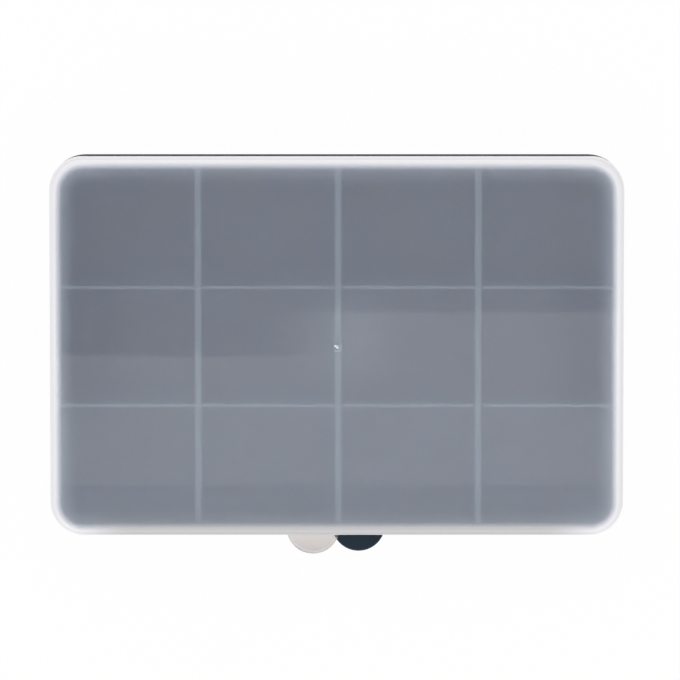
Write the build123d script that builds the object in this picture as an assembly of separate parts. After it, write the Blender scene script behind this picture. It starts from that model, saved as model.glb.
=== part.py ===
from build123d import *
import math
import os

# A kids snack box: a dark tray of twelve cells under a press-on frosted lid.
# Lengths are in millimetres. +Z is up, +X is to the right and -Y is the front, where the finger tabs are.
# The origin is the middle of the tray's underside, in the plane that the box stands on.

# Overall sizes
lid_length = 241.5
lid_width = 160.0
box_height = 42.0
lid_corner_radius = 14.3

# Lid
lid_plate_thickness = 1.6
skirt_height = 9.0
skirt_thickness = 1.8
skirt_draft_degrees = 1.0
lid_edge_radius = 2.4
lid_inner_edge_radius = 0.8
skirt_foot_radius = 0.5
gate_dish_diameter = 3.6
gate_dish_depth = 0.5
gate_nub_diameter = 1.3
gate_nub_height = 0.35

# Tray
wall_thickness = 1.6
wall_draft_degrees = 2.0
floor_thickness = 1.8
floor_radius = 4.0
bottom_radius = 5.5
foot_height = 0.8
foot_margin = 1.5
foot_edge_radius = 0.3
rim_edge_radius = 0.5
flange_thickness = 1.6
flange_side_overhang = 0.1
flange_back_overhang = 0.45
flange_corner_extra = 1.0
flange_edge_radius = 0.5
flange_root_radius = 0.8

# Snap ridge round the rim, and the groove that it sits in
ridge_height = 1.6
ridge_crest = 0.5
ridge_depth = 0.45
ridge_drop = 4.5
groove_depth = 0.35
groove_play = 0.25

# Finger tabs
tab_radius = 11.2
tab_thickness = 1.6
lid_tab_offset = 10.0
lid_tab_reach = 8.6
tray_tab_offset = 9.2
tray_tab_reach = 7.7
tab_edge_radius = 0.5
tab_rib_inset = 0.7
tab_rib_width = 0.6
tab_rib_height = 0.3

# Dividers
columns = 4
rows = 3
column_shift = 0.6
outer_row_extra = 1.3
long_divider_thickness = 3.0
short_divider_thickness = 1.4
long_divider_edge_radius = 0.5
short_divider_edge_radius = 0.3
guide_width = 1.1
guide_depth = 1.2
guide_drop = 2.5
guide_slope = 2.0

# Clearances
rim_clearance = 0.35
lid_seat_gap = 0.1
flange_gap = 0.3
divider_top_gap = 0.5
divider_floor_gap = 0.1
divider_end_gap = 0.2
guide_play = 0.15

# Depth that a piece which is fused on reaches into what carries it, and that a cut runs past a face
overlap = 0.5

# Heights that follow
skirt_foot = box_height - skirt_height
lid_underside = box_height - lid_plate_thickness
rim_top = lid_underside - lid_seat_gap
flange_top = skirt_foot - flange_gap
flange_foot = flange_top - flange_thickness
floor_top = foot_height + floor_thickness
divider_foot = floor_top + divider_floor_gap
divider_top = lid_underside - divider_top_gap
guide_top = divider_top - guide_drop
ridge_level = rim_top - ridge_drop

# Sizes of the cavity at the rim, inside the lid's skirt
skirt_taper = math.tan(math.radians(skirt_draft_degrees))
wall_taper = math.tan(math.radians(wall_draft_degrees))
rim_inset = skirt_thickness + rim_clearance + skirt_height * skirt_taper
cavity_inset = rim_inset + wall_thickness
cavity_length = lid_length - 2 * cavity_inset
cavity_width = lid_width - 2 * cavity_inset
cavity_corner_radius = lid_corner_radius - cavity_inset

# Places of the dividers, from their lines in the photo: equal steps, with the columns a little to the right
# of the middle and the outer rows a little deeper than the middle one
half_depth_inset = (rim_top - floor_top) / 2 * wall_taper
column_pitch = (cavity_length - 2 * half_depth_inset + long_divider_thickness) / columns
row_pitch = (cavity_width - 2 * (half_depth_inset + outer_row_extra) + short_divider_thickness) / rows
divider_columns = [(index - columns / 2) * column_pitch + column_shift for index in range(1, columns)]
divider_rows = [(index - rows / 2) * row_pitch for index in range(1, rows)]


def lid_outline(height, inset):
    """The lid's outline at a height, drawn in by an inset. The skirt narrows going up."""
    narrowing = (height - skirt_foot) * skirt_taper + inset
    length = lid_length - 2 * narrowing
    width = lid_width - 2 * narrowing
    return Pos(0, 0, height) * RectangleRounded(length, width, lid_corner_radius - narrowing)


def cavity_outline(height, inset):
    """The tray's inner outline at a height, drawn in by an inset. The walls narrow going down."""
    narrowing = (rim_top - height) * wall_taper + inset
    length = cavity_length - 2 * narrowing
    width = cavity_width - 2 * narrowing
    return Pos(0, 0, height) * RectangleRounded(length, width, cavity_corner_radius - narrowing)


def block_between(outlines):
    """A solid with flat and conical sides through a list of outlines, lowest first."""
    return loft([outline.face() for outline in outlines], ruled=True)


def lid_block(low, high, inset):
    return block_between([lid_outline(low, inset), lid_outline(high, inset)])


def cavity_block(low, high, inset):
    return block_between([cavity_outline(low, inset), cavity_outline(high, inset)])


def edges_at(solid, height):
    """The edges that lie flat at a height."""
    return solid.edges().filter_by_position(Axis.Z, height - 0.001, height + 0.001)


def ridge_ring(outline, level, half_height, half_crest, depth):
    """A ring of trapezoid section that stands out from an outline by a depth at a level."""
    return block_between(
        [
            outline(level - half_height, 0),
            outline(level - half_crest, -depth),
            outline(level + half_crest, -depth),
            outline(level + half_height, 0),
        ]
    )


def rim_outline(height, inset):
    return cavity_outline(height, inset - wall_thickness)


def skirt_inner_outline(height, inset):
    return lid_outline(height, inset + skirt_thickness)


def tab_disc(offset, reach, foot, thickness):
    """A round tab whose front edge reaches past the lid's front edge, with soft upper and lower edges."""
    middle = -lid_width / 2 - reach + tab_radius
    disc = extrude(Circle(tab_radius), thickness)
    disc = fillet(disc.edges(), tab_edge_radius)
    return Pos(offset, middle, foot) * disc


def tab_rib(offset, reach, top):
    """The low raised line that runs round a tab, just inside its edge."""
    middle = -lid_width / 2 - reach + tab_radius
    outer = tab_radius - tab_rib_inset
    ring = Circle(outer) - Circle(outer - tab_rib_width)
    ring = extrude(ring, tab_rib_height + overlap)
    return Pos(offset, middle, top - overlap) * ring


def gate_mark():
    """The sunk dish over the middle of the lid, as a cutter, and the nub that stands in it."""
    dish_floor = box_height - gate_dish_depth
    dish = extrude(Circle(gate_dish_diameter / 2), overlap + gate_dish_depth)
    dish = Pos(0, 0, dish_floor) * dish
    nub_foot = dish_floor - overlap
    nub = extrude(Circle(gate_nub_diameter / 2), overlap + gate_nub_height)
    nub = Pos(0, 0, nub_foot) * nub
    nub = fillet(edges_at(nub, nub_foot + overlap + gate_nub_height), gate_nub_height / 2)
    return dish, nub


def lid():
    """The frosted lid: a flat plate with rounded edges, a skirt with a snap groove, and a finger tab."""
    body = lid_block(skirt_foot, box_height, 0)
    body = fillet(edges_at(body, box_height), lid_edge_radius)
    body = fillet(edges_at(body, skirt_foot), skirt_foot_radius)
    body += tab_disc(-lid_tab_offset, lid_tab_reach, skirt_foot, tab_thickness)
    body += tab_rib(-lid_tab_offset, lid_tab_reach, skirt_foot + tab_thickness)
    hollow = lid_block(skirt_foot - overlap, lid_underside, skirt_thickness)
    hollow = fillet(edges_at(hollow, lid_underside), lid_inner_edge_radius)
    body -= hollow
    half_height = ridge_height / 2 + groove_play
    half_crest = ridge_crest / 2 + groove_play
    body -= ridge_ring(skirt_inner_outline, ridge_level, half_height, half_crest, groove_depth)
    dish, nub = gate_mark()
    return body - dish + nub


def flange():
    """The ledge under the lid's skirt, with the tray's finger tab."""
    length = lid_length + 2 * flange_side_overhang
    width = lid_width + 2 * flange_back_overhang
    corner_radius = lid_corner_radius + flange_side_overhang + flange_corner_extra
    plate = extrude(RectangleRounded(length, width, corner_radius), flange_thickness)
    plate = fillet(edges_at(plate, 0) + edges_at(plate, flange_thickness), flange_edge_radius)
    plate = Pos(0, 0, flange_foot) * plate
    return plate + tab_disc(tray_tab_offset, tray_tab_reach, flange_foot, flange_thickness)


def outer_shell():
    """The tray's outer drafted body, solid, with its rounded bottom and the flat foot under it."""
    body = cavity_block(foot_height, rim_top, -wall_thickness)
    body = fillet(edges_at(body, foot_height), bottom_radius)
    foot_inset = bottom_radius + foot_margin - wall_thickness
    foot = Pos(0, 0, -foot_height) * extrude(cavity_outline(foot_height, foot_inset), foot_height + overlap)
    foot = fillet(edges_at(foot, 0), foot_edge_radius)
    return body + foot


def wall_guides(shell):
    """Pairs of upright guides that hold the dividers' ends on the tray's walls, kept inside its shell."""
    foot = floor_top - overlap
    zone = cavity_block(foot, guide_top, -overlap)
    zone -= cavity_block(foot - overlap, guide_top + overlap, guide_depth)
    slope_foot = guide_top - guide_slope
    zone -= block_between([cavity_outline(slope_foot, guide_depth), cavity_outline(guide_top, 0)])
    slabs = []
    for x in divider_columns:
        for side in (-1, 1):
            place = x + side * (long_divider_thickness / 2 + guide_play + guide_width / 2)
            slabs.append(Pos(place, 0, box_height / 2) * Box(guide_width, lid_width, box_height))
    for y in divider_rows:
        for side in (-1, 1):
            place = y + side * (short_divider_thickness / 2 + guide_play + guide_width / 2)
            slabs.append(Pos(0, place, box_height / 2) * Box(lid_length, guide_width, box_height))
    return [zone & shell & slab for slab in slabs]


def tray():
    """The dark tray, moulded in one: floor, drafted walls, rim with snap ridge, flange, tab and guides."""
    ridge = ridge_ring(rim_outline, ridge_level, ridge_height / 2, ridge_crest / 2, ridge_depth)
    shell = outer_shell()
    body = shell + flange() + ridge
    ledge = body.faces().filter_by_position(Axis.Z, flange_foot - 0.001, flange_foot + 0.001)[0]
    body = fillet(ledge.inner_wires()[0].edges(), flange_root_radius)
    cavity = cavity_block(floor_top, rim_top + overlap, 0)
    cavity = fillet(edges_at(cavity, floor_top), floor_radius)
    body -= cavity
    body = fillet(edges_at(body, rim_top), rim_edge_radius)
    for guide in wall_guides(shell):
        body += guide
    return body


def divider_space():
    """The room that the dividers fill: the cavity less their end and floor gaps, up to their top edges."""
    space = cavity_block(divider_foot, divider_top, divider_end_gap)
    return fillet(edges_at(space, divider_foot), floor_radius)


def soft_top(plate, along, radius):
    """Rounds the two long top edges of a divider."""
    return fillet(edges_at(plate, divider_top).filter_by(along), radius)


def long_divider_guide():
    """One upright guide with a sloped top, standing out towards +X from the plane X = 0."""
    foot = divider_foot
    points = [
        (-overlap, foot),
        (guide_depth, foot),
        (guide_depth, guide_top - guide_slope),
        (0, guide_top),
        (-overlap, guide_top),
    ]
    profile = Plane.XZ * make_face(Polyline(*points, close=True))
    return extrude(profile, guide_width / 2, both=True)


def long_divider(x):
    """A front-to-back divider, with pairs of guides on both faces for the short dividers."""
    slab = Pos(x, 0, box_height / 2) * Box(long_divider_thickness, lid_width, box_height)
    body = soft_top(divider_space() & slab, Axis.Y, long_divider_edge_radius)
    guide = long_divider_guide()
    reach = short_divider_thickness / 2 + guide_play + guide_width / 2
    for y in divider_rows:
        for side in (-1, 1):
            body += Pos(x + long_divider_thickness / 2, y + side * reach, 0) * guide
            body += Pos(x - long_divider_thickness / 2, y + side * reach, 0) * Rot(0, 0, 180) * guide
    return body


def short_divider(column, y):
    """A cross divider in one column, between two long dividers or a long divider and a side wall."""
    half_gap = long_divider_thickness / 2 + divider_end_gap
    left = -lid_length / 2 if column == 0 else divider_columns[column - 1] + half_gap
    right = lid_length / 2 if column == columns - 1 else divider_columns[column] - half_gap
    slab = Pos((left + right) / 2, y, box_height / 2) * Box(right - left, short_divider_thickness, box_height)
    return soft_top(divider_space() & slab, Axis.X, short_divider_edge_radius)


def all_pieces():
    """Every piece of the box by its name, in its place."""
    pieces = {"tray": tray(), "lid": lid()}
    for index, x in enumerate(divider_columns, 1):
        pieces[f"long_divider_{index}"] = long_divider(x)
    for row, y in enumerate(divider_rows):
        for column in range(columns):
            name = f"short_divider_{'front' if row == 0 else f'back'}_{column + 1}"
            pieces[name] = short_divider(column, y)
    return pieces


os.makedirs("parts", exist_ok=True)
for name, piece in all_pieces().items():
    export_step(piece, f"parts/{name}.step")
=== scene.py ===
import functools
import logging
import math
from dataclasses import dataclass, field, replace
from enum import Enum

import bpy
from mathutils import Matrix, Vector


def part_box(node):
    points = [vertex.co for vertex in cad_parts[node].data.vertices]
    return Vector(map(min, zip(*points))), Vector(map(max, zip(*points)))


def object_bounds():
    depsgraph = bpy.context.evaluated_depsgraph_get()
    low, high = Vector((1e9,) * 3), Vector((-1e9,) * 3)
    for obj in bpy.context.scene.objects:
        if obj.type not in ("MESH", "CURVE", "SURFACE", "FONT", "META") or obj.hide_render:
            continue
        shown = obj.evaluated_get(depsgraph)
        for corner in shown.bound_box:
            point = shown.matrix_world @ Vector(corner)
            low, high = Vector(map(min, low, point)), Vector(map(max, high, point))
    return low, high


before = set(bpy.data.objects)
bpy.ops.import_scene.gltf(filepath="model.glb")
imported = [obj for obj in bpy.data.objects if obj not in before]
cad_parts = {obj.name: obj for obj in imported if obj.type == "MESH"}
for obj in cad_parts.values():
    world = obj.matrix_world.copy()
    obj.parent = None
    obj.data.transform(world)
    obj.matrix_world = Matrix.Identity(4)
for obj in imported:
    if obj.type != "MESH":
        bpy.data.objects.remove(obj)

CAD_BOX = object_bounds()
MM = 0.001
Colour = tuple[float, float, float]
Socket = bpy.types.NodeSocket
WHITE: Colour = (1.0, 1.0, 1.0)
PLASTIC_IOR = 1.49

log = logging.getLogger("snack_box")


class Blend(Enum):
    """How a number goes from one value to another."""

    STRAIGHT = "LINEAR"
    SOFT = "SMOOTHSTEP"


class Side(Enum):
    """A long side of the box, by the sign of its Y."""

    FRONT = -1.0
    BACK = 1.0


@dataclass(frozen=True)
class Ramp:
    """A change of one number with another: low up to the start value, high from the end value on."""

    start: float
    end: float
    low: float = 0.0
    high: float = 1.0
    blend: Blend = Blend.SOFT


@dataclass(frozen=True)
class Grain:
    """A cloudy pattern: the size of its blotches, its finer layers, and its depth where it is a bump."""

    size: float
    layers: float
    depth: float = 0.0
    fineness: float = 0.55


class NodeDesk:
    """A material and the few kinds of node that the finishes of this box are made of."""

    def __init__(self, name: str) -> None:
        """Starts an empty node material.

        Args:
            name: the material's name.
        """
        self.material = bpy.data.materials.new(name)
        self.material.use_nodes = True
        self.tree = self.material.node_tree
        self.tree.nodes.clear()
        self.coords = self.tree.nodes.new("ShaderNodeTexCoord").outputs["Object"]

    def node(
        self, kind: str, inputs: dict[str | int, object] | None = None, **settings: object
    ) -> bpy.types.Node:
        """Adds a node, sets its settings, and feeds its inputs with sockets or plain values.

        Args:
            kind: Blender's name of the node.
            inputs: what goes into each input, by name or number.
            settings: the node's own settings.

        Returns:
            The node.
        """
        made = self.tree.nodes.new(kind)
        for key, value in settings.items():
            setattr(made, key, value)
        for key, value in (inputs or {}).items():
            if isinstance(value, bpy.types.NodeSocket):
                self.tree.links.new(value, made.inputs[key])
            else:
                made.inputs[key].default_value = value
        return made

    def math(self, operation: str, first: Socket | float, second: Socket | float = 0.0) -> Socket:
        """One sum, product or other operation on one or two numbers."""
        return self.node("ShaderNodeMath", {0: first, 1: second}, operation=operation).outputs[0]

    def join(self, operation: str, *values: Socket | float) -> Socket:
        """Several numbers put together by one operation, from left to right."""
        return functools.reduce(lambda left, right: self.math(operation, left, right), values)

    def ramp(self, value: Socket, ramp: Ramp) -> Socket:
        """A number that follows another along a ramp.

        Args:
            value: the number to follow.
            ramp: how the result changes with it.

        Returns:
            The result, held at both ends of the ramp.
        """
        inputs = {
            "Value": value,
            "From Min": ramp.start,
            "From Max": ramp.end,
            "To Min": ramp.low,
            "To Max": ramp.high,
        }
        node = self.node("ShaderNodeMapRange", inputs, interpolation_type=ramp.blend.value, clamp=True)
        return node.outputs["Result"]

    def noise(self, grain: Grain) -> Socket:
        """A cloudy number field on the piece's own coordinates.

        Args:
            grain: the pattern.

        Returns:
            The field, from 0 to 1 about 0.5.
        """
        inputs = {
            "Vector": self.coords,
            "Scale": 1 / grain.size,
            "Detail": grain.layers,
            "Roughness": grain.fineness,
        }
        return self.node("ShaderNodeTexNoise", inputs).outputs["Fac"]

    def bump(self, grain: Grain, under: Socket | None = None) -> Socket:
        """A normal that follows a cloudy pattern.

        Args:
            grain: the pattern, with its depth.
            under: a coarser normal that this one lies on.

        Returns:
            The normal.
        """
        inputs = {"Height": self.noise(grain), "Distance": grain.depth, "Strength": 1.0}
        if under is not None:
            inputs["Normal"] = under
        return self.node("ShaderNodeBump", inputs).outputs["Normal"]

    def place(self) -> list[Socket]:
        """The X, Y and Z of a point on the piece."""
        return list(self.node("ShaderNodeSeparateXYZ", {0: self.coords}).outputs)

    def facing_up(self) -> Socket:
        """How much a surface faces up or down: 1 where it is level and 0 where it is upright."""
        normal = self.node("ShaderNodeNewGeometry").outputs["Normal"]
        return self.math("ABSOLUTE", self.node("ShaderNodeSeparateXYZ", {0: normal}).outputs["Z"])

    def distance_in_plan(self, place: tuple[float, float]) -> Socket:
        """How far a point is from a place, both seen from above.

        Args:
            place: the X and Y of the place.

        Returns:
            The distance in metres.
        """
        x, y, _ = self.place()
        flat = self.node("ShaderNodeCombineXYZ", {"X": x, "Y": y}).outputs[0]
        inputs = {0: flat, 1: (*place, 0.0)}
        return self.node("ShaderNodeVectorMath", inputs, operation="DISTANCE").outputs["Value"]

    def mix_colour(self, factor: Socket, first: Colour | Socket, second: Colour | Socket) -> Socket:
        """A colour between two.

        Args:
            factor: 0 for the first colour and 1 for the second.
            first: a colour or a socket that gives one.
            second: a colour or a socket that gives one.

        Returns:
            The mixed colour.
        """
        first, second = [c if isinstance(c, bpy.types.NodeSocket) else (*c, 1.0) for c in (first, second)]
        inputs = {"Factor": factor, 6: first, 7: second}
        return self.node("ShaderNodeMix", inputs, data_type="RGBA").outputs[2]

    def mix_number(self, factor: Socket, first: Socket, second: Socket) -> Socket:
        """A number between two, by a number from 0 to 1."""
        inputs = {"Factor": factor, 2: first, 3: second}
        return self.node("ShaderNodeMix", inputs, data_type="FLOAT").outputs[0]

    def tinted(self, colour: Socket, tint: Socket) -> Socket:
        """A colour multiplied by another."""
        inputs = {0: colour, 1: tint}
        return self.node("ShaderNodeVectorMath", inputs, operation="MULTIPLY").outputs["Vector"]

    def finish(self, surface: Socket) -> bpy.types.Material:
        """Puts a shader on the material's output and returns the material."""
        self.node("ShaderNodeOutputMaterial", {"Surface": surface})
        return self.material


@dataclass(frozen=True)
class MouldedPlastic:
    """Solid moulded plastic: a colour that varies a little, with fine grain in its shine and surface."""

    name: str
    colour: Colour
    deep_colour: Colour
    roughness: float
    roughness_spread: Ramp = Ramp(0.3, 0.7, 0.9, 1.12)
    clouds: Grain = Grain(9 * MM, 4.0)
    grain: Grain = Grain(0.35 * MM, 2.0, 0.004 * MM)
    ripple: Grain = Grain(14 * MM, 1.0, 0.03 * MM)

    def material(self) -> bpy.types.Material:
        """Makes the material: cloudy colour, grain and ripple bumps, and shine that follows the clouds.

        Returns:
            The material.
        """
        desk = NodeDesk(self.name)
        clouds = desk.noise(self.clouds)
        spread = desk.ramp(clouds, self.roughness_spread)
        inputs = {
            "Base Color": desk.mix_colour(clouds, self.deep_colour, self.colour),
            "Roughness": desk.math("MULTIPLY", spread, self.roughness),
            "Normal": desk.bump(self.grain, desk.bump(self.ripple)),
            "IOR": PLASTIC_IOR,
        }
        return desk.finish(desk.node("ShaderNodeBsdfPrincipled", inputs).outputs[0])


@dataclass(frozen=True)
class LidOutline:
    """The lid's outline from above, with its middle at X = 0 and Y = 0, and the zones along its edges."""

    half_length: float
    half_width: float
    corner_radius: float
    edge_depth: Ramp = Ramp(-22 * MM, -3 * MM)
    edge_ends: Ramp = Ramp(-34 * MM, -5 * MM, 1.0, 0.0)
    corner_depth: Ramp = Ramp(-26 * MM, -10 * MM)

    def inset(self, desk: NodeDesk) -> Socket:
        """How far inside the outline a point lies.

        The outline is a rectangle with round corners. With q as how far a point lies past the inner
        rectangle of corner centres on each axis, the distance is the corner radius, less the length of
        q where it is positive, less the larger of its parts where both are negative.

        Args:
            desk: the material's desk.

        Returns:
            The distance in metres, less than 0 outside.
        """
        x, y, _ = desk.place()
        halves = (self.half_length - self.corner_radius, self.half_width - self.corner_radius)
        past = [desk.math("SUBTRACT", desk.math("ABSOLUTE", p), half) for p, half in zip((x, y), halves)]
        squares = [desk.math("POWER", desk.math("MAXIMUM", p, 0.0), 2.0) for p in past]
        outside = desk.math("SQRT", desk.math("ADD", *squares))
        inside = desk.math("MINIMUM", desk.math("MAXIMUM", *past), 0.0)
        return desk.math("SUBTRACT", self.corner_radius, desk.math("ADD", outside, inside))

    def past_end(self, desk: NodeDesk) -> Socket:
        """How far a point lies past the nearer end of the lid, in metres, less than 0 on the lid."""
        x, _, _ = desk.place()
        return desk.math("SUBTRACT", desk.math("ABSOLUTE", x), self.half_length)

    def long_edge(self, desk: NodeDesk, side: Side) -> Socket:
        """A mask for one long edge.

        Args:
            desk: the material's desk.
            side: which of the two edges.

        Returns:
            1 along the middle of the edge, and 0 at its corners and away from it.
        """
        _, y, _ = desk.place()
        past_edge = desk.math("SUBTRACT", desk.math("MULTIPLY", y, side.value), self.half_width)
        depth = desk.ramp(past_edge, self.edge_depth)
        return desk.math("MULTIPLY", depth, desk.ramp(self.past_end(desk), self.edge_ends))

    def back_corners(self, desk: NodeDesk) -> Socket:
        """A mask for the two back corners.

        Args:
            desk: the material's desk.

        Returns:
            1 in the corners and 0 everywhere else.
        """
        _, y, _ = desk.place()
        past_back = desk.math("SUBTRACT", y, self.half_width)
        return desk.ramp(desk.math("MINIMUM", self.past_end(desk), past_back), self.corner_depth)


@dataclass(frozen=True)
class GateMark:
    """What the moulding gate leaves in the middle of the lid, drawn as painted light: painted glints on
    the stub, in a ring with a painted highlight.
    """

    # Painted glints: where the stub's bright points are painted, and how bright each is.
    points: tuple[tuple[float, float], ...] = (
        (-0.60 * MM, 0.42 * MM),
        (0.26 * MM, -0.30 * MM),
        (0.30 * MM, 0.38 * MM),
    )
    strengths: tuple[float, ...] = (0.93, 0.93, 0.55)
    point: Ramp = Ramp(0.33 * MM, 0.7 * MM, 1.0, 0.0)
    ring_inside: Ramp = Ramp(1.2 * MM, 1.8 * MM)
    ring_outside: Ramp = Ramp(1.8 * MM, 2.4 * MM, 1.0, 0.0)
    # Painted highlight: the ring is painted brighter on its front right side.
    ring_painted_highlight_side: Ramp = Ramp(-1.2 * MM, 2.2 * MM, 0.12, 0.5)
    depth: Ramp = Ramp(-1.0 * MM, -0.8 * MM)

    def stub(self, desk: NodeDesk) -> Socket:
        """The painted glints on the stub: bright points painted where light would glint off it.

        Args:
            desk: the material's desk.

        Returns:
            Each point's strength on it, and 0 off them all.
        """
        spots = [
            desk.math("MULTIPLY", desk.ramp(desk.distance_in_plan(place), self.point), strength)
            for place, strength in zip(self.points, self.strengths)
        ]
        return desk.join("MAXIMUM", *spots)

    def mask(self, desk: NodeDesk, top: float) -> Socket:
        """The painted glints on the stub and the painted highlight on the ring, whose front right side is
        painted the brighter one.

        Args:
            desk: the material's desk.
            top: the height of the lid's top in metres. Nothing 1 mm or more below it is marked.

        Returns:
            How bright the mark is, from 0 to 1.
        """
        x, y, z = desk.place()
        reach = desk.distance_in_plan((0.0, 0.0))
        inner = desk.ramp(reach, self.ring_inside)
        outer = desk.ramp(reach, self.ring_outside)
        side = desk.ramp(desk.math("SUBTRACT", x, y), self.ring_painted_highlight_side)
        mark = desk.math("MAXIMUM", desk.join("MULTIPLY", inner, outer, side), self.stub(desk))
        return desk.math("MULTIPLY", mark, desk.ramp(desk.math("SUBTRACT", z, top), self.depth))


@dataclass(frozen=True)
class PlateMilk:
    """How milky the plate is: less at its ends, with painted light that makes each row to the front
    brighter, painted shade at the ends of the middle row, and a painted glow by the gate.
    """

    middle: float = 15 * MM
    spread: Ramp = Ramp(55 * MM, 135 * MM, 0.020, 0.0)
    right_end: Ramp = Ramp(98 * MM, 118 * MM, 0.0, 0.012)
    row_edges: tuple[float, ...] = (25.4 * MM, -24.5 * MM, -63 * MM)
    # Painted light: each row to the front is painted a step brighter.
    painted_light_row_steps: tuple[float, ...] = (0.008, 0.030, 0.020)
    row_softness: float = 3 * MM
    # Painted shade: the ends of the middle row are painted darker, where the side walls would shade them.
    middle_row_painted_shade: Ramp = Ramp(22 * MM, 36 * MM, 0.018, 0.0)
    row_ends: Ramp = Ramp(80 * MM, 108 * MM)
    # Painted glow: a soft pool of light painted near the gate, right of the middle.
    painted_glow_place: tuple[float, float] = (5 * MM, 4 * MM)
    painted_glow: Ramp = Ramp(0.0, 29 * MM, 0.035, 0.0)

    def mask(self, desk: NodeDesk) -> Socket:
        """The milkiness at a point on the plate, with its painted light, shade and glow.

        Args:
            desk: the material's desk.

        Returns:
            The milkiness, as a share from 0 to 1.
        """
        x, y, _ = desk.place()
        off_middle = desk.math("ABSOLUTE", desk.math("SUBTRACT", x, self.middle))
        layers = [desk.ramp(off_middle, self.spread), desk.ramp(x, self.right_end)]
        # Painted light: the brighter steps of the rows to the front.
        for edge, step in zip(self.row_edges, self.painted_light_row_steps):
            softened = Ramp(edge + self.row_softness, edge - self.row_softness, 0.0, step)
            layers.append(desk.ramp(y, softened))
        # Painted glow by the gate.
        layers.append(desk.ramp(desk.distance_in_plan(self.painted_glow_place), self.painted_glow))
        # Painted shade at the ends of the middle row.
        row = desk.ramp(desk.math("ABSOLUTE", y), self.middle_row_painted_shade)
        painted_row_end_shade = desk.math("MULTIPLY", row, desk.ramp(desk.math("ABSOLUTE", x), self.row_ends))
        return desk.math("SUBTRACT", desk.join("ADD", *layers), painted_row_end_shade)


@dataclass(frozen=True)
class EdgeBand:
    """How white the plate gets towards its outline, where the skirt is seen along its height.

    With t running from 0 at the band's inner side to 1 at the end of the fade, the white is (1 - t) to the
    power 1.5, and a faint tail with a square fade runs on further in. The band is widest along the front,
    at the right and in the back corners, and least along the back.
    """

    fade: Ramp = Ramp(2.4 * MM, 6.3 * MM, 1.0, 0.0, Blend.STRAIGHT)
    fade_power: float = 1.5
    tail: Ramp = Ramp(5.2 * MM, 12.5 * MM, 1.0, 0.0, Blend.STRAIGHT)
    tail_power: float = 2.0
    tail_milk: float = 0.135
    less_tail_at_back: float = 0.3
    more_tail_in_corners: float = 0.3
    wider_right: float = 0.3 * MM
    wider_front: float = 0.8 * MM
    wider_corners: float = 0.4 * MM
    narrower_back: float = 0.1 * MM

    def inset(self, desk: NodeDesk, outline: LidOutline) -> Socket:
        """How far inside the outline a point lies, less what the band is wider by there.

        Args:
            desk: the material's desk.
            outline: the lid's outline.

        Returns:
            The distance in metres.
        """
        x, _, _ = desk.place()
        across = Ramp(-outline.half_length, outline.half_length, 0.0, self.wider_right, Blend.STRAIGHT)
        wider = desk.join(
            "ADD",
            desk.ramp(x, across),
            desk.math("MULTIPLY", outline.long_edge(desk, Side.FRONT), self.wider_front),
            desk.math("MULTIPLY", outline.back_corners(desk), self.wider_corners),
            desk.math("MULTIPLY", outline.long_edge(desk, Side.BACK), -self.narrower_back),
        )
        return desk.math("SUBTRACT", outline.inset(desk), wider)

    def masks(self, desk: NodeDesk, outline: LidOutline) -> tuple[Socket, Socket]:
        """The band and its tail.

        Args:
            desk: the material's desk.
            outline: the lid's outline.

        Returns:
            The white of the band, and the milk of its faint tail, each from 0 to 1.
        """
        inset = self.inset(desk, outline)
        band = desk.math("POWER", desk.ramp(inset, self.fade), self.fade_power)
        tail = desk.math("POWER", desk.ramp(inset, self.tail), self.tail_power)
        less = desk.math("MULTIPLY", outline.long_edge(desk, Side.BACK), -self.less_tail_at_back)
        more = desk.math("MULTIPLY", outline.back_corners(desk), self.more_tail_in_corners)
        return band, desk.join("MULTIPLY", tail, desk.join("ADD", 1.0, less, more), self.tail_milk)


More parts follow.
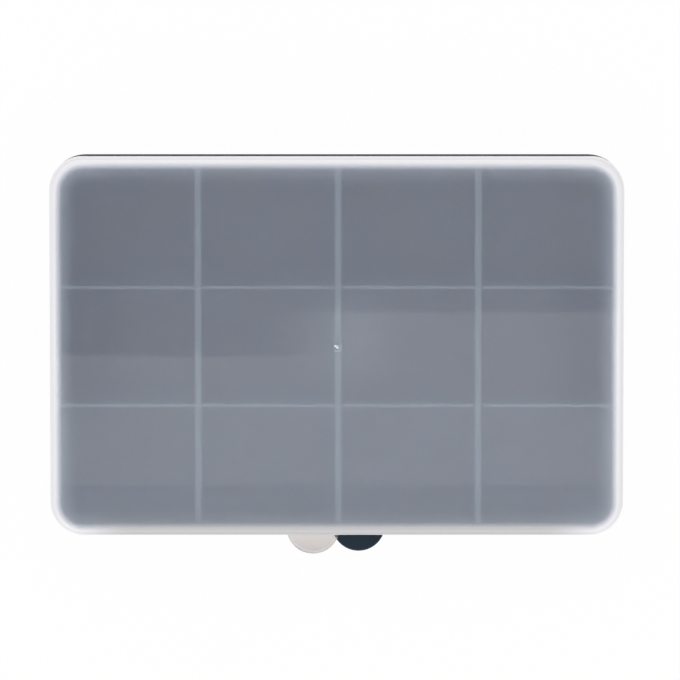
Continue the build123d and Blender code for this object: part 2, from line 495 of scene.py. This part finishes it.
@dataclass(frozen=True)
class FrostedPlastic:
    """The lid's milky plastic: hazy and see-through on the flat, and white where it is seen edge on.

    What comes through is tinted warm and what it scatters is tinted blue, as in any thin milky plastic.
    """

    name: str
    outline: LidOutline
    top: float
    rib_foot: float
    gate: GateMark = GateMark()
    plate: PlateMilk = PlateMilk()
    band: EdgeBand = EdgeBand()
    clear_tint: Colour = (0.92, 0.84, 0.74)
    tab_tint: Colour = (0.72, 0.65, 0.575)
    rib_tint: Colour = (0.97, 0.93, 0.90)
    haze_colour: Colour = (0.335, 0.46, 0.74)
    edge_colour: Colour = (0.84, 0.83, 0.86)
    # Painted shade: the duller white painted along the front edge, as if it faced away from the lamps.
    painted_shade_edge_colour: Colour = (0.55, 0.54, 0.55)
    # Painted glint colour: the bright white painted on the gate's stub.
    painted_glint_colour: Colour = (0.90, 0.93, 0.97)
    thin_tint: Colour = (0.94, 1.066, 1.163)
    shadow_tint: Colour = (0.62, 0.62, 0.64)
    haze: float = 0.13
    haze_spread: Ramp = Ramp(0.25, 0.75, 0.93, 1.07)
    roughness: float = 0.34
    roughness_spread: Ramp = Ramp(0.25, 0.75, 0.95, 1.06)
    shine_roughness: float = 0.02
    clouds: Grain = Grain(22 * MM, 3.0)
    warp: Grain = Grain(60 * MM, 1.0, 0.03 * MM)
    frost: Grain = Grain(0.28 * MM, 2.0, 0.006 * MM)
    on_lid: Ramp = Ramp(-0.8 * MM, -0.2 * MM)
    level: Ramp = Ramp(0.2, 0.8)
    shoulder: Ramp = Ramp(-4.5 * MM, -2.0 * MM, 0.35, 1.0)
    tab_depth: Ramp = Ramp(-0.5 * MM, -8 * MM, 0.0, 1.0, Blend.STRAIGHT)
    rib_height: Ramp = Ramp(0.0, 0.2 * MM)
    rib_side: Ramp = Ramp(-1.0 * MM, -0.5 * MM, 1.0, 0.0)

    def thickness(self, desk: NodeDesk) -> Socket:
        """How far the plastic is seen edge on.

        The skirt and other upright faces get it from their height, and the tab has none.

        Args:
            desk: the material's desk.

        Returns:
            1 where it is seen edge on, as at the plate's outline, and near 0 on the flat.
        """
        band, tail = self.band.masks(desk, self.outline)
        # The plate's milk carries its painted light, shade and glow, and the gate's mask its painted
        # glints.
        milk = desk.math("ADD", tail, self.plate.mask(desk))
        flat = desk.join("MAXIMUM", band, milk, self.gate.mask(desk, self.top))
        _, _, z = desk.place()
        upright = desk.ramp(desk.math("SUBTRACT", z, self.top), self.shoulder)
        thick = desk.mix_number(desk.ramp(desk.facing_up(), self.level), upright, flat)
        return desk.math("MULTIPLY", thick, desk.ramp(self.outline.inset(desk), self.on_lid))

    def through_colour(self, desk: NodeDesk) -> Socket:
        """The tint of what is seen through it, deeper in the tab and pale on the tab's raised line.

        Args:
            desk: the material's desk.

        Returns:
            The tint.
        """
        inset = self.outline.inset(desk)
        _, _, z = desk.place()
        raised = desk.ramp(desk.math("SUBTRACT", z, self.rib_foot), self.rib_height)
        rib = desk.math("MULTIPLY", raised, desk.ramp(inset, self.rib_side))
        tint = desk.mix_colour(desk.ramp(inset, self.tab_depth), self.clear_tint, self.tab_tint)
        return desk.mix_colour(rib, tint, self.rib_tint)

    def milk_colour(self, desk: NodeDesk, thick: Socket, share: Socket) -> Socket:
        """The colour that it scatters: blue in the haze and white where it is thick.

        The white is darker along the front, where painted shade stands for the front edge facing away from
        the lamps; it is brightest in the painted glints on the gate's stub, and bluish where it thins out.

        Args:
            desk: the material's desk.
            thick: how far the plastic is seen edge on, from 0 to 1.
            share: how much of what is seen is scattered, from 0 to 1.

        Returns:
            The colour.
        """
        # Painted shade along the front edge, mixed into the white.
        front = self.outline.long_edge(desk, Side.FRONT)
        edge = desk.mix_colour(front, self.edge_colour, self.painted_shade_edge_colour)
        # Painted glints on the gate's stub, mixed into the white.
        edge = desk.mix_colour(self.gate.stub(desk), edge, self.painted_glint_colour)
        edge = desk.tinted(edge, desk.mix_colour(thick, self.thin_tint, WHITE))
        return desk.mix_colour(desk.math("DIVIDE", thick, share), self.haze_colour, edge)

    def material(self) -> bpy.types.Material:
        """Makes the material: rough clear plastic mixed with milky colour, under a smoother face.

        Returns:
            The material.
        """
        desk = NodeDesk(self.name)
        thick = self.thickness(desk)
        not_thick = desk.math("SUBTRACT", 1.0, thick)
        clouds = desk.noise(self.clouds)
        haze = desk.math("MULTIPLY", desk.ramp(clouds, self.haze_spread), self.haze)
        share = desk.math("ADD", thick, desk.math("MULTIPLY", haze, not_thick))
        spread = desk.ramp(clouds, self.roughness_spread)
        warp = desk.bump(self.warp)
        face = {
            "Normal": desk.bump(self.frost, warp),
            "IOR": PLASTIC_IOR,
            "Roughness": desk.math("MULTIPLY", spread, self.roughness),
            "Coat Weight": 1.0,
            "Coat Roughness": self.shine_roughness,
            "Coat Normal": warp,
        }
        through = {**face, "Base Color": self.through_colour(desk), "Transmission Weight": 1.0}
        clear = desk.node("ShaderNodeBsdfPrincipled", through).outputs[0]
        scattered = {**face, "Base Color": self.milk_colour(desk, thick, share)}
        milky = desk.node("ShaderNodeBsdfPrincipled", scattered).outputs[0]
        surface = desk.node("ShaderNodeMixShader", {0: share, 1: clear, 2: milky}).outputs[0]
        lamps = desk.node("ShaderNodeBsdfTransparent", {"Color": (*self.shadow_tint, 1.0)}).outputs[0]
        shadow = desk.node("ShaderNodeLightPath").outputs["Is Shadow Ray"]
        let_through = desk.math("MULTIPLY", shadow, not_thick)
        inputs = {0: let_through, 1: surface, 2: lamps}
        return desk.finish(desk.node("ShaderNodeMixShader", inputs).outputs[0])


@dataclass
class Tray:
    """The dark tray, moulded in one with its flange, tab and guides."""

    body: str = "tray"
    finish: MouldedPlastic = MouldedPlastic(
        name="tray_plastic_finish",
        colour=(0.006, 0.022, 0.039),
        deep_colour=(0.004, 0.018, 0.034),
        roughness=0.16,
    )

    def dress(self) -> None:
        """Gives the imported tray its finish."""
        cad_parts[self.body].material_slots[0].material = self.finish.material()
        log.info("%s: %s", self.body, self.finish.name)


@dataclass
class Dividers:
    """The long dividers and the short ones between them, in one lighter plastic."""

    names: list[str] = field(default_factory=lambda: sorted(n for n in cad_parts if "divider" in n))
    finish: MouldedPlastic = MouldedPlastic(
        name="divider_plastic_finish",
        colour=(0.21, 0.31, 0.395),
        deep_colour=(0.19, 0.285, 0.37),
        roughness=0.42,
    )

    def dress(self) -> None:
        """Gives every divider its finish."""
        material = self.finish.material()
        for name in self.names:
            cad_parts[name].material_slots[0].material = material
            log.info("%s: %s", name, self.finish.name)


@dataclass
class Lid:
    """The frosted lid. Its middle is at X = 0 and Y = 0, and only its front edge has a tab."""

    body: str = "lid"
    length: float = 241.5 * MM
    width: float = 160.0 * MM
    corner_radius: float = 14.3 * MM
    rib_drop: float = 7.35 * MM

    def dress(self) -> None:
        """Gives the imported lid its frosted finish."""
        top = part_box(self.body)[1][2]
        outline = LidOutline(self.length / 2, self.width / 2, self.corner_radius)
        finish = FrostedPlastic("lid_plastic_finish", outline, top, top - self.rib_drop)
        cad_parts[self.body].material_slots[0].material = finish.material()
        log.info("%s: %s", self.body, finish.name)


@dataclass(frozen=True)
class Softbox:
    """A soft rectangular lamp, which points at the box, or straight down if it is level."""

    name: str
    place: tuple[float, float, float]
    size: tuple[float, float]
    power: float
    level: bool = False

    def hang(self) -> None:
        """Adds the lamp to the scene."""
        data = bpy.data.lights.new(self.name, "AREA")
        data.shape = "RECTANGLE"
        data.size, data.size_y = self.size
        data.energy = self.power
        lamp = bpy.data.objects.new(self.name, data)
        bpy.context.scene.collection.objects.link(lamp)
        lamp.location = self.place
        x, y, z = self.place
        if not self.level:
            tip = math.atan2(math.hypot(x, y), z)
            lamp.rotation_euler = (tip, 0.0, math.atan2(y, x) + math.pi / 2)
        log.info("lamp %s", self.name)

    def faded_at_left(self, steps: int, width: float) -> list["Softbox"]:
        """This lamp as a row of lamps, the left ones dimmer, so that its reflection fades in.

        Args:
            steps: how many dimmer lamps the row starts with.
            width: how wide each of them is, in metres.

        Returns:
            The row of lamps, from left to right.
        """
        left = self.place[0] - self.size[0] / 2
        edges = [left + i * width for i in range(steps + 1)] + [left + self.size[0]]
        row = []
        for i in range(steps + 1):
            length = edges[i + 1] - edges[i]
            place = (edges[i] + length / 2, *self.place[1:])
            power = self.power * length / self.size[0] * (i + 1) / (steps + 1)
            size = (length, self.size[1])
            row.append(replace(self, name=f"{self.name}_{i + 1}", place=place, size=size, power=power))
        return row


FRONT_SOFTBOX = Softbox("front_softbox", (0.0, -1.4, 1.5), (2.4, 1.8), 13.0)
BACK_SOFTBOX = Softbox("back_softbox", (-0.5, 1.6, 1.6), (2.4, 1.6), 11.0)
MIDDLE_STRIP = Softbox("middle_strip", (0.0, -0.178, 1.5), (1.8, 0.0354), 0.1635, level=True)
RIGHT_STRIP = Softbox("right_strip", (0.427, -0.14615, 1.5), (0.946, 0.0283), 0.0678, level=True)
FRONT_STRIP = Softbox("front_strip", (0.0, -0.2204, 1.5), (1.8, 0.0493), 0.126, level=True)


@dataclass
class Studio:
    """The pale floor, the soft lamps, the even room light and the camera over the box."""

    lamps: tuple[Softbox, ...] = (
        FRONT_SOFTBOX,
        BACK_SOFTBOX,
        MIDDLE_STRIP,
        *RIGHT_STRIP.faded_at_left(steps=4, width=13 * MM),
        FRONT_STRIP,
    )
    floor_size: float = 6.0
    floor_drop: float = 0.2 * MM
    floor_colour: Colour = (0.82, 0.82, 0.82)
    floor_white: float = 0.98
    room_light: float = 0.75
    room_shine: float = 0.3
    room_seen: float = 1.0
    camera_distance: float = 2.7
    camera_tilt: float = math.radians(6.0)
    camera_aim: tuple[float, float] = (1.37 * MM, 2.98 * MM)
    camera_sensor: float = 36.0
    camera_reach: float = 50.0
    frame_width: float = 285.6 * MM

    def floor(self) -> None:
        """A wide pale floor, a little under the foot, so that the two flat faces don't coincide.

        The camera, shine and glass see it nearly white, with the box's faint shadow left.
        """
        half = self.floor_size / 2
        z = -self.floor_drop
        mesh = bpy.data.meshes.new("floor")
        corners = [(-half, -half, z), (half, -half, z), (half, half, z), (-half, half, z)]
        mesh.from_pydata(corners, [], [(0, 1, 2, 3)])
        piece = bpy.data.objects.new("floor", mesh)
        bpy.context.scene.collection.objects.link(piece)
        desk = NodeDesk("floor_finish")
        matt = desk.node("ShaderNodeBsdfDiffuse", {"Color": (*self.floor_colour, 1.0)}).outputs[0]
        white = desk.node("ShaderNodeEmission", {"Strength": 1.0}).outputs[0]
        seen = desk.math("MULTIPLY", self.seen_directly(desk), self.floor_white)
        surface = desk.node("ShaderNodeMixShader", {0: seen, 1: matt, 2: white}).outputs[0]
        mesh.materials.append(desk.finish(surface))

    @staticmethod
    def seen_directly(desk: NodeDesk) -> Socket:
        """Tells the rays that show the floor from those that only carry light.

        Args:
            desk: the material's desk.

        Returns:
            1 for rays from the camera, off shine or through glass, and 0 for all others.
        """
        path = desk.node("ShaderNodeLightPath").outputs
        rays = (path["Is Camera Ray"], path["Is Glossy Ray"], path["Is Transmission Ray"])
        return desk.join("MAXIMUM", *rays)

    def room(self) -> None:
        """Even white light from all round, dimmer in shine, which the camera sees as plain white."""
        world = bpy.data.worlds.new("room")
        bpy.context.scene.world = world
        world.use_nodes = True
        tree = world.node_tree
        tree.nodes.clear()
        path = tree.nodes.new("ShaderNodeLightPath")
        seen = self.light(tree, self.room_light)
        strengths = {
            "Is Glossy Ray": self.room_shine,
            "Is Transmission Ray": self.room_seen,
            "Is Camera Ray": self.room_seen,
        }
        for ray, strength in strengths.items():
            mix = tree.nodes.new("ShaderNodeMixShader")
            tree.links.new(path.outputs[ray], mix.inputs[0])
            tree.links.new(seen, mix.inputs[1])
            tree.links.new(self.light(tree, strength), mix.inputs[2])
            seen = mix.outputs[0]
        out = tree.nodes.new("ShaderNodeOutputWorld")
        tree.links.new(seen, out.inputs["Surface"])

    @staticmethod
    def light(tree: bpy.types.NodeTree, strength: float) -> Socket:
        """White light of one strength.

        Args:
            tree: the room's nodes.
            strength: how bright it is.

        Returns:
            The light.
        """
        light = tree.nodes.new("ShaderNodeBackground")
        light.inputs["Color"].default_value = (*WHITE, 1.0)
        light.inputs["Strength"].default_value = strength
        return light.outputs[0]

    def camera(self) -> None:
        """A long-lens camera almost straight above, leaning towards the back of the box."""
        data = bpy.data.cameras.new("camera")
        data.sensor_width = self.camera_sensor
        data.lens = self.camera_sensor * self.camera_distance / self.frame_width
        data.clip_end = self.camera_reach
        camera = bpy.data.objects.new("camera", data)
        bpy.context.scene.collection.objects.link(camera)
        x, y = self.camera_aim
        box_top = CAD_BOX[1][2]
        back = self.camera_distance * math.sin(self.camera_tilt)
        up = self.camera_distance * math.cos(self.camera_tilt)
        camera.location = (x, y + back, box_top + up)
        camera.rotation_euler = (-self.camera_tilt, 0.0, 0.0)
        bpy.context.scene.camera = camera

    def build(self) -> None:
        """Sets up the whole studio."""
        self.camera()
        self.floor()
        self.room()
        for lamp in self.lamps:
            lamp.hang()
        bpy.context.scene.view_settings.view_transform = "Standard"
        log.info("studio ready")


def main() -> None:
    """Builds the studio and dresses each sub-assembly."""
    logging.basicConfig(level=logging.INFO, format="%(name)s %(message)s")
    Studio().build()
    Tray().dress()
    Dividers().dress()
    Lid().dress()


if __name__ == "__main__":
    main()
